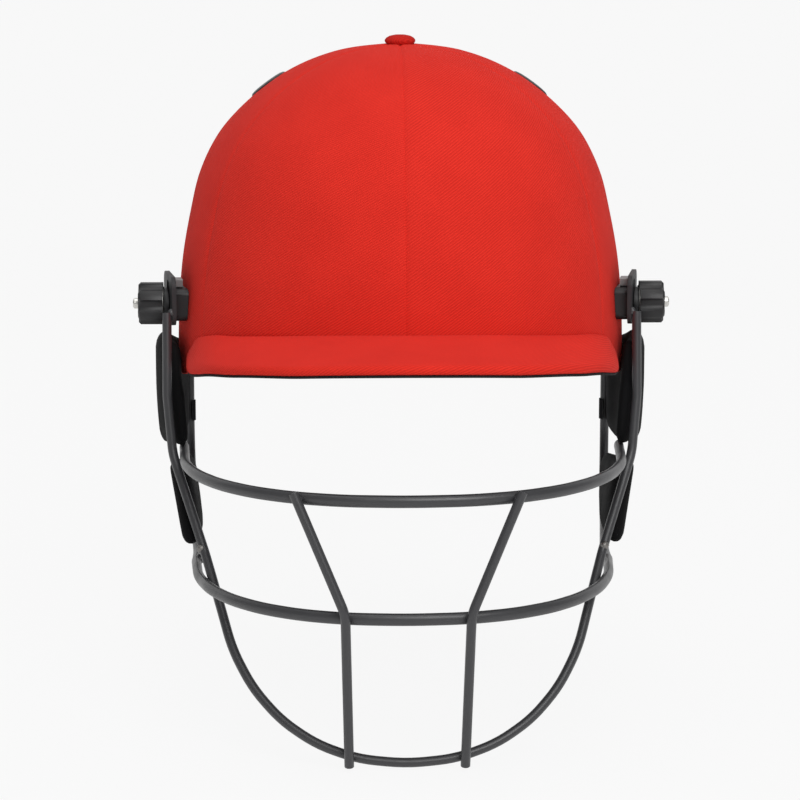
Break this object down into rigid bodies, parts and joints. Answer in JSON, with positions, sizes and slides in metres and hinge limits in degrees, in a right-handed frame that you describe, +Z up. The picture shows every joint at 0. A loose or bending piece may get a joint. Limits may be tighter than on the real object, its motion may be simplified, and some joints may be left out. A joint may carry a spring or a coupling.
{
  "type": "cricket helmet",
  "caption": "Cloth-covered cricket helmet with a peak and a wire face guard that tilts and slides on side bolts with clamp knobs.",
  "frame": {"origin": "centre of the head opening, level with the brow, where the head carries the helmet", "axes": "+Z up as worn, the face looks along -Y, +X to the wearer's left"},
  "size_m": [0.2492, 0.2962, 0.3139],
  "materials": {
    "red_cloth": "twill",
    "shell_plastic": "moulded",
    "black_cloth": "plain weave",
    "black_rubber": "matte",
    "liner_foam": "closed-cell foam",
    "guard_foam": "closed-cell foam",
    "black_plastic": "moulded",
    "brass": "turned",
    "plated_steel": "zinc plated",
    "coated_steel": "satin powder coat"
  },
  "bodies": {
    "shell": {"backing_washer_left": "plated_steel", "backing_washer_right": "plated_steel", "bolt_left": "plated_steel", "bolt_right": "plated_steel", "brow_pad": "liner_foam", "button_washer": "plated_steel", "crown_button": "red_cloth", "crown_pad": "liner_foam", "front_panel_left": "red_cloth", "front_panel_right": "red_cloth", "peak_board": "shell_plastic", "peak_cloth": "red_cloth", "peak_lining": "black_cloth", "rear_pad": "liner_foam", "rear_panel_left": "red_cloth", "rear_panel_right": "red_cloth", "rim_trim": "black_rubber", "shell": "shell_plastic", "side_pad_left": "liner_foam", "side_pad_right": "liner_foam", "side_panel_left": "red_cloth", "side_panel_right": "red_cloth", "spacer_clip_left": "plated_steel", "spacer_clip_right": "plated_steel", "spacer_left": "black_rubber", "spacer_right": "black_rubber", "sweatband": "black_cloth", "vent_left": "black_plastic", "vent_right": "black_plastic"},
    "slot_guides": {"slot_guide_left": "black_plastic", "slot_guide_right": "black_plastic"},
    "grille": {"chin_bar": "coated_steel", "ear_loop_left": "coated_steel", "ear_loop_right": "coated_steel", "ear_pad_left": "guard_foam", "ear_pad_right": "guard_foam", "jaw_pad_left": "guard_foam", "jaw_pad_right": "guard_foam", "pad_strap_left": "black_cloth", "pad_strap_right": "black_cloth", "second_bar": "coated_steel", "side_plate_left": "coated_steel", "side_plate_right": "coated_steel", "side_wire_left": "coated_steel", "side_wire_right": "coated_steel", "top_bar": "coated_steel", "upright_left": "coated_steel", "upright_right": "coated_steel"},
    "knob_washer_left": {"knob_washer_left": "plated_steel"},
    "knob_washer_right": {"knob_washer_right": "plated_steel"},
    "knob_left": {"knob_left": "black_plastic", "knob_nut_left": "brass"},
    "knob_right": {"knob_right": "black_plastic", "knob_nut_right": "brass"}
  },
  "joints": [
    {"name": "grille_tilt", "type": "hinge", "parent": "shell", "child": "slot_guides", "pos_m": [0, -0.03, 0.0025], "axis": [1, 0, 0], "range_deg": [-6, 4]},
    {"name": "grille_height", "type": "slide", "parent": "slot_guides", "child": "grille", "axis": [0, 0, 1], "range_m": [-0.0067, 0.0017]},
    {"name": "knob_left_travel", "type": "slide", "parent": "shell", "child": "knob_washer_left", "axis": [1, 0, 0], "range_m": [0, 0.0024]},
    {"name": "knob_left_turn", "type": "hinge", "parent": "knob_washer_left", "child": "knob_left", "pos_m": [0.1166, -0.03, 0.0025], "axis": [-1, 0, 0], "range_deg": [0, 1080]},
    {"name": "knob_right_travel", "type": "slide", "parent": "shell", "child": "knob_washer_right", "axis": [-1, 0, 0], "range_m": [0, 0.0024]},
    {"name": "knob_right_turn", "type": "hinge", "parent": "knob_washer_right", "child": "knob_right", "pos_m": [-0.1166, -0.03, 0.0025], "axis": [1, 0, 0], "range_deg": [0, 1080]}
  ],
  "couplings": [
    {"joint": "knob_left_turn", "follows": "knob_left_travel", "rad_per_m": 7854},
    {"joint": "knob_right_turn", "follows": "knob_right_travel", "rad_per_m": 7854}
  ]
}
